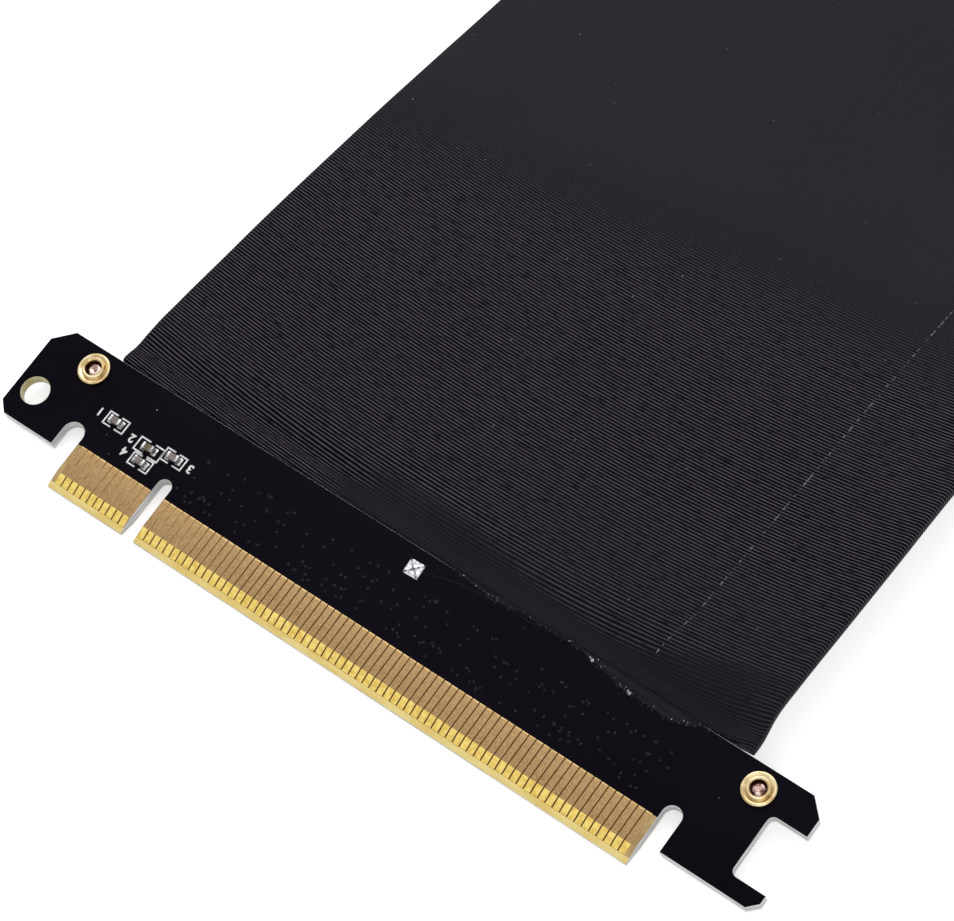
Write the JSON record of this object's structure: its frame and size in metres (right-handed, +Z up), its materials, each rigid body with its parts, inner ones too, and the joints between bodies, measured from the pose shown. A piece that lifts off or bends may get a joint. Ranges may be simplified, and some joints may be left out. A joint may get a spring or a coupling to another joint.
{
  "type": "gpu riser cable",
  "caption": "Card-edge board joined by a wide flat wrapped cable to a small board that carries a matching expansion slot.",
  "frame": {"origin": "on the surface that the riser lies on, under the middle of its whole length and width", "axes": "+X along the contacts towards the hooked tab, +Y from the card edge towards the slot, +Z up out of the slot"},
  "size_m": [0.116, 0.2432, 0.0154],
  "materials": {
    "solder_mask": "near-black solder mask, smooth",
    "gold": "thin gold plate, satin",
    "brass": "turned brass, bright",
    "steel": "nickel-plated steel",
    "tin": "tinned, bright",
    "ceramic": "fired ceramic chip with tinned ends",
    "ribbed_wrap": "black wrap with fine ribs across the cable",
    "ribbon": "shielded flat ribbon",
    "sealant": "black sealant",
    "slot_plastic": "moulded black plastic",
    "foam_pad": "dense black foam"
  },
  "bodies": {
    "root": {"edge_board": "solder_mask", "edge_contacts_top_short": "gold", "edge_contacts_top_long": "gold", "edge_contacts_bottom_short": "gold", "edge_contacts_bottom_long": "gold", "edge_clamp_bar": "steel", "edge_seal_bead": "sealant", "edge_nut_left": "brass", "edge_nut_right": "brass", "edge_screw_left": "steel", "edge_screw_right": "steel", "edge_capacitor_1": "ceramic", "edge_capacitor_2": "ceramic", "edge_capacitor_3": "ceramic", "edge_capacitor_4": "ceramic", "edge_test_pad": "tin", "cable_wrap": "ribbed_wrap", "cable_ribbon_1": "ribbon", "cable_ribbon_2": "ribbon", "cable_ribbon_3": "ribbon", "cable_ribbon_4": "ribbon", "cable_ribbon_5": "ribbon", "slot_board": "solder_mask", "slot_base_pad": "foam_pad", "slot_clamp_bar": "steel", "slot_seal_bead": "sealant", "slot_nut_left": "brass", "slot_nut_right": "brass", "slot_screw_left": "steel", "slot_screw_right": "steel", "slot_capacitor_1": "ceramic", "slot_capacitor_2": "ceramic", "slot_capacitor_3": "ceramic", "slot_capacitor_4": "ceramic", "slot_housing": "slot_plastic", "slot_springs_cable_short": "gold", "slot_springs_cable_long": "gold", "slot_springs_outer_short": "gold", "slot_springs_outer_long": "gold"}
  },
  "joints": []
}
